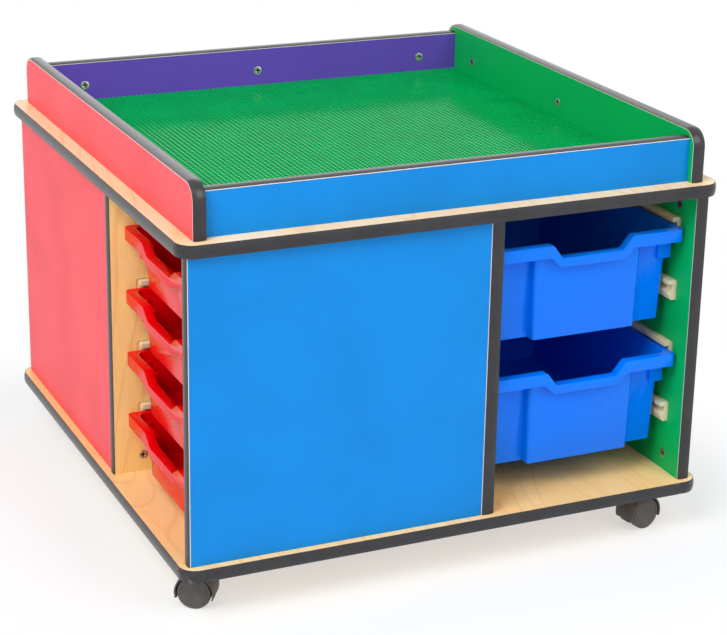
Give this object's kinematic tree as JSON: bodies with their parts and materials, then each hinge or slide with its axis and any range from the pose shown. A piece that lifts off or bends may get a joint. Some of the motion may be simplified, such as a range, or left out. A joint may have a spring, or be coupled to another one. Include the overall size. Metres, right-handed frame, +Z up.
{
  "type": "project table",
  "caption": "Square children's play and project table on castors, with a studded top inside low walls and pull-out storage trays in a bay on each side.",
  "frame": {"origin": "on the floor under the middle of the table", "axes": "+X to the right along the blue front side, +Y to the back, +Z up"},
  "size_m": [0.8498, 0.8498, 0.6454],
  "materials": {
    "maple_board": "maple-effect melamine, satin",
    "blue_panel": "coloured melamine, satin",
    "green_panel": "coloured melamine, satin",
    "purple_panel": "coloured melamine, satin",
    "red_panel": "coloured melamine, satin",
    "black_edging": "push-in plastic edging, satin",
    "cream_runner": "moulded plastic",
    "blue_tray": "moulded plastic, semi-gloss",
    "red_tray": "moulded plastic, semi-gloss",
    "green_tray": "moulded plastic, semi-gloss",
    "purple_tray": "moulded plastic, semi-gloss",
    "green_plate": "moulded plastic with studs",
    "zinc_cam": "die-cast zinc",
    "steel": "zinc-plated steel",
    "castor_plastic": "moulded nylon, matt"
  },
  "bodies": {
    "table": {"base_board": "maple_board", "table_top": "maple_board", "base_board_edging": "black_edging", "table_top_edging": "black_edging", "panel_edging": "black_edging", "divider_edging": "black_edging", "cam_locks": "zinc_cam", "cam_bolts": "steel", "castor_plates": "steel", "castor_screws": "steel", "front_panel": "blue_panel", "front_divider": "maple_board", "front_upstand": "blue_panel", "front_upstand_edging": "black_edging", "front_runners": "cream_runner", "right_panel": "green_panel", "right_divider": "maple_board", "right_upstand": "green_panel", "right_upstand_edging": "black_edging", "right_runners": "cream_runner", "back_panel": "purple_panel", "back_divider": "maple_board", "back_upstand": "purple_panel", "back_upstand_edging": "black_edging", "back_runners": "cream_runner", "left_panel": "red_panel", "left_divider": "maple_board", "left_upstand": "red_panel", "left_upstand_edging": "black_edging", "left_runners": "cream_runner", "building_plate_front_left": "green_plate", "building_plate_front_right": "green_plate", "building_plate_back_left": "green_plate", "building_plate_back_right": "green_plate"},
    "front_deep_tray_lower": {"front_deep_tray_lower": "blue_tray"},
    "front_deep_tray_upper": {"front_deep_tray_upper": "blue_tray"},
    "right_shallow_tray_1": {"right_shallow_tray_1": "green_tray"},
    "right_shallow_tray_2": {"right_shallow_tray_2": "green_tray"},
    "right_shallow_tray_3": {"right_shallow_tray_3": "green_tray"},
    "right_shallow_tray_4": {"right_shallow_tray_4": "green_tray"},
    "back_deep_tray_lower": {"back_deep_tray_lower": "purple_tray"},
    "back_deep_tray_upper": {"back_deep_tray_upper": "purple_tray"},
    "left_shallow_tray_1": {"left_shallow_tray_1": "red_tray"},
    "left_shallow_tray_2": {"left_shallow_tray_2": "red_tray"},
    "left_shallow_tray_3": {"left_shallow_tray_3": "red_tray"},
    "left_shallow_tray_4": {"left_shallow_tray_4": "red_tray"},
    "castor_front_left": {"castor_hood_front_left": "castor_plastic"},
    "wheels_front_left": {"castor_wheels_front_left": "castor_plastic", "castor_axle_front_left": "steel"},
    "castor_front_right": {"castor_hood_front_right": "castor_plastic"},
    "wheels_front_right": {"castor_wheels_front_right": "castor_plastic", "castor_axle_front_right": "steel"},
    "castor_back_right": {"castor_hood_back_right": "castor_plastic"},
    "wheels_back_right": {"castor_wheels_back_right": "castor_plastic", "castor_axle_back_right": "steel"},
    "castor_back_left": {"castor_hood_back_left": "castor_plastic"},
    "wheels_back_left": {"castor_wheels_back_left": "castor_plastic", "castor_axle_back_left": "steel"}
  },
  "joints": [
    {"name": "front_deep_tray_lower_slide", "type": "slide", "parent": "table", "child": "front_deep_tray_lower", "axis": [0, -1, 0], "range_m": [0, 0.38]},
    {"name": "front_deep_tray_upper_slide", "type": "slide", "parent": "table", "child": "front_deep_tray_upper", "axis": [0, -1, 0], "range_m": [0, 0.38]},
    {"name": "right_shallow_tray_1_slide", "type": "slide", "parent": "table", "child": "right_shallow_tray_1", "axis": [1, 0, 0], "range_m": [0, 0.38]},
    {"name": "right_shallow_tray_2_slide", "type": "slide", "parent": "table", "child": "right_shallow_tray_2", "axis": [1, 0, 0], "range_m": [0, 0.38]},
    {"name": "right_shallow_tray_3_slide", "type": "slide", "parent": "table", "child": "right_shallow_tray_3", "axis": [1, 0, 0], "range_m": [0, 0.38]},
    {"name": "right_shallow_tray_4_slide", "type": "slide", "parent": "table", "child": "right_shallow_tray_4", "axis": [1, 0, 0], "range_m": [0, 0.38]},
    {"name": "back_deep_tray_lower_slide", "type": "slide", "parent": "table", "child": "back_deep_tray_lower", "axis": [0, 1, 0], "range_m": [0, 0.38]},
    {"name": "back_deep_tray_upper_slide", "type": "slide", "parent": "table", "child": "back_deep_tray_upper", "axis": [0, 1, 0], "range_m": [0, 0.38]},
    {"name": "left_shallow_tray_1_slide", "type": "slide", "parent": "table", "child": "left_shallow_tray_1", "axis": [-1, 0, 0], "range_m": [0, 0.38]},
    {"name": "left_shallow_tray_2_slide", "type": "slide", "parent": "table", "child": "left_shallow_tray_2", "axis": [-1, 0, 0], "range_m": [0, 0.38]},
    {"name": "left_shallow_tray_3_slide", "type": "slide", "parent": "table", "child": "left_shallow_tray_3", "axis": [-1, 0, 0], "range_m": [0, 0.38]},
    {"name": "left_shallow_tray_4_slide", "type": "slide", "parent": "table", "child": "left_shallow_tray_4", "axis": [-1, 0, 0], "range_m": [0, 0.38]},
    {"name": "castor_front_left_swivel", "type": "hinge", "parent": "table", "child": "castor_front_left", "pos_m": [-0.3665, -0.3665, 0.05], "axis": [0, 0, 1], "continuous": true},
    {"name": "wheels_front_left_spin", "type": "hinge", "parent": "castor_front_left", "child": "wheels_front_left", "pos_m": [-0.3816, -0.3567, 0.025], "axis": [-0.5446, -0.8387, 0], "continuous": true},
    {"name": "castor_front_right_swivel", "type": "hinge", "parent": "table", "child": "castor_front_right", "pos_m": [0.3665, -0.3665, 0.05], "axis": [0, 0, 1], "continuous": true},
    {"name": "wheels_front_right_spin", "type": "hinge", "parent": "castor_front_right", "child": "wheels_front_right", "pos_m": [0.34889, -0.37024, 0.025], "axis": [0.2079, -0.9781, 0], "continuous": true},
    {"name": "castor_back_right_swivel", "type": "hinge", "parent": "table", "child": "castor_back_right", "pos_m": [0.3665, 0.3665, 0.05], "axis": [0, 0, 1], "continuous": true},
    {"name": "wheels_back_right_spin", "type": "hinge", "parent": "castor_back_right", "child": "wheels_back_right", "pos_m": [0.37266, 0.38341, 0.025], "axis": [-0.9397, 0.342, 0], "continuous": true},
    {"name": "castor_back_left_swivel", "type": "hinge", "parent": "table", "child": "castor_back_left", "pos_m": [-0.3665, 0.3665, 0.05], "axis": [0, 0, 1], "continuous": true},
    {"name": "wheels_back_left_spin", "type": "hinge", "parent": "castor_back_left", "child": "wheels_back_left", "pos_m": [-0.34959, 0.37266, 0.025], "axis": [-0.342, 0.9397, 0], "continuous": true}
  ]
}
